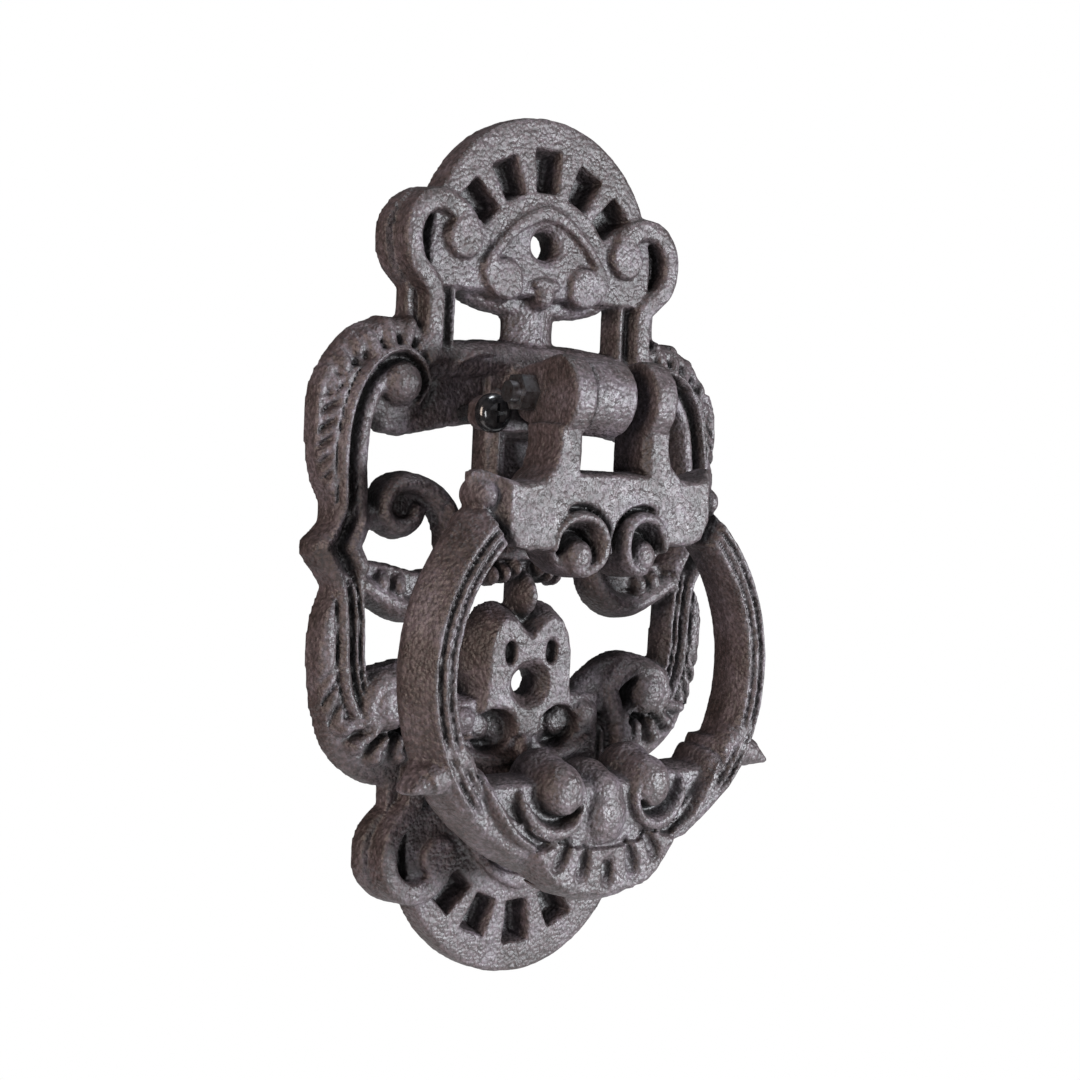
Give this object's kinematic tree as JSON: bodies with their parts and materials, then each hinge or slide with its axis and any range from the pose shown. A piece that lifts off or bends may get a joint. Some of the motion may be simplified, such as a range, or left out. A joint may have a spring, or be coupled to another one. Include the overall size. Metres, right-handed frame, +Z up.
{
  "type": "door knocker",
  "caption": "Openwork scrolled cast-iron door knocker: a ring on a hinge bolt swings against a wall plate with fixing holes at top and bottom.",
  "frame": {"origin": "the middle of the back plate's flat back face, halfway between its ends", "axes": "+Z up along the plate, +Y into the door, +X to the right of a person facing the door"},
  "size_m": [0.1194, 0.054, 0.21],
  "materials": {
    "cast_iron": "sand-cast iron in satin brown-black paint",
    "dark_steel": "dark plated steel, worn on its edges",
    "black_screw": "gloss black plated screw"
  },
  "bodies": {
    "plate": {"back_plate": "cast_iron", "fixing_screw": "black_screw"},
    "ring": {"knocker_ring": "cast_iron", "hinge_bolt": "dark_steel", "hinge_nut": "dark_steel"}
  },
  "joints": [
    {"name": "ring_hinge", "type": "hinge", "parent": "plate", "child": "ring", "pos_m": [0, -0.025, 0.038], "axis": [-1, 0, 0], "range_deg": [0, 110]}
  ]
}
